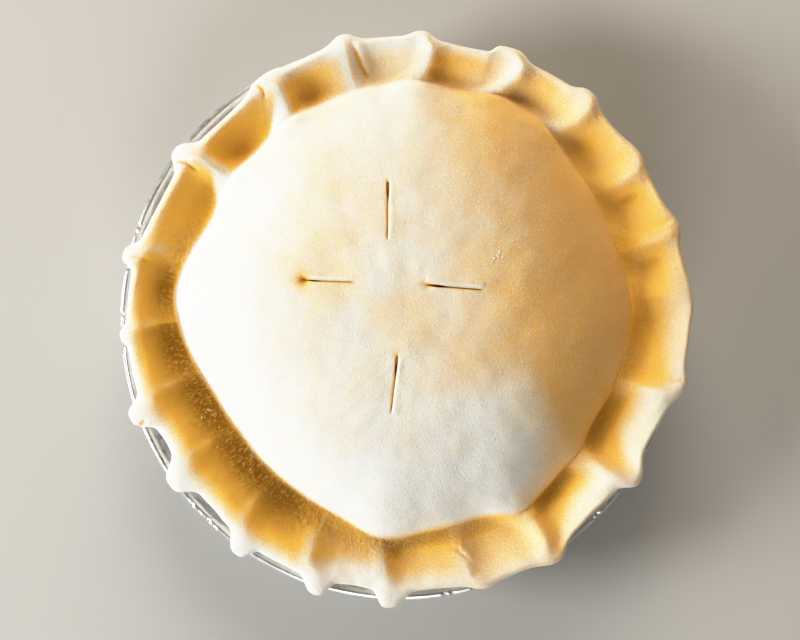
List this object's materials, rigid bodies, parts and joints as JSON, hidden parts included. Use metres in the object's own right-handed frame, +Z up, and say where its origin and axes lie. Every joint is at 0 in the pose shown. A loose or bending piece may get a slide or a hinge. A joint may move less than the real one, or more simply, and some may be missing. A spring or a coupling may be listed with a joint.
{
  "type": "chicken pot pie",
  "caption": "Round pastry pie, not yet baked, with a domed lid, a pinched fluted edge and steam slits, in its own thin foil tin.",
  "frame": {"origin": "middle of the underside of the tin's flat base, on the table", "axes": "+Z up, out of the pie's lid; +X and +Y across the lid, one pair of steam slits running nearly along each"},
  "size_m": [0.228, 0.2281, 0.0593],
  "materials": {
    "dough": "raw pastry dough, matt and pale, lightly dusted with flour",
    "foil": "bright thin foil, lightly creased"
  },
  "bodies": {
    "root": {"pie": "dough", "foil_tin": "foil"}
  },
  "joints": []
}
